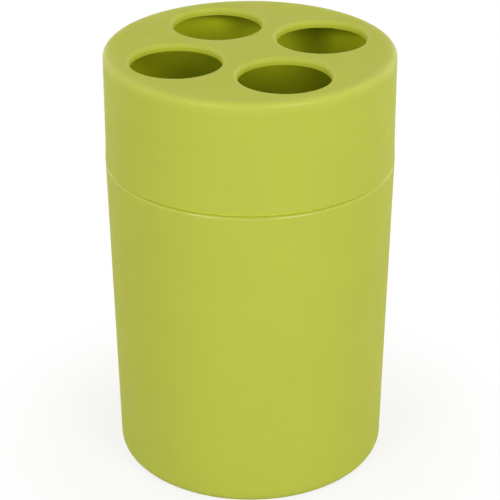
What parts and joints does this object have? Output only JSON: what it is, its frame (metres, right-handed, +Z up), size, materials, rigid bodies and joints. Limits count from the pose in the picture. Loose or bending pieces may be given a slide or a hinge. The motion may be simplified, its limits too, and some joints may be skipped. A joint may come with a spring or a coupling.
{
  "type": "toothbrush holder",
  "caption": "Tapered round plastic toothbrush holder: an open cup with a deep lift-off lid, whose flat top has round lipped holes that the brushes stand in.",
  "frame": {"origin": "centre of the foot ring, on the surface that the holder stands on", "axes": "+Z up along the cup's axis; +X and +Y each point through a brush hole"},
  "size_m": [0.0754, 0.0754, 0.1148],
  "materials": {
    "lime_plastic": "satin lime green, moulded in colour"
  },
  "bodies": {
    "cup": {"cup": "lime_plastic"},
    "lid": {"lid": "lime_plastic"}
  },
  "joints": [
    {"name": "lid_lift", "type": "slide", "parent": "cup", "child": "lid", "axis": [0, 0, 1], "range_m": [0, 0.06]}
  ]
}
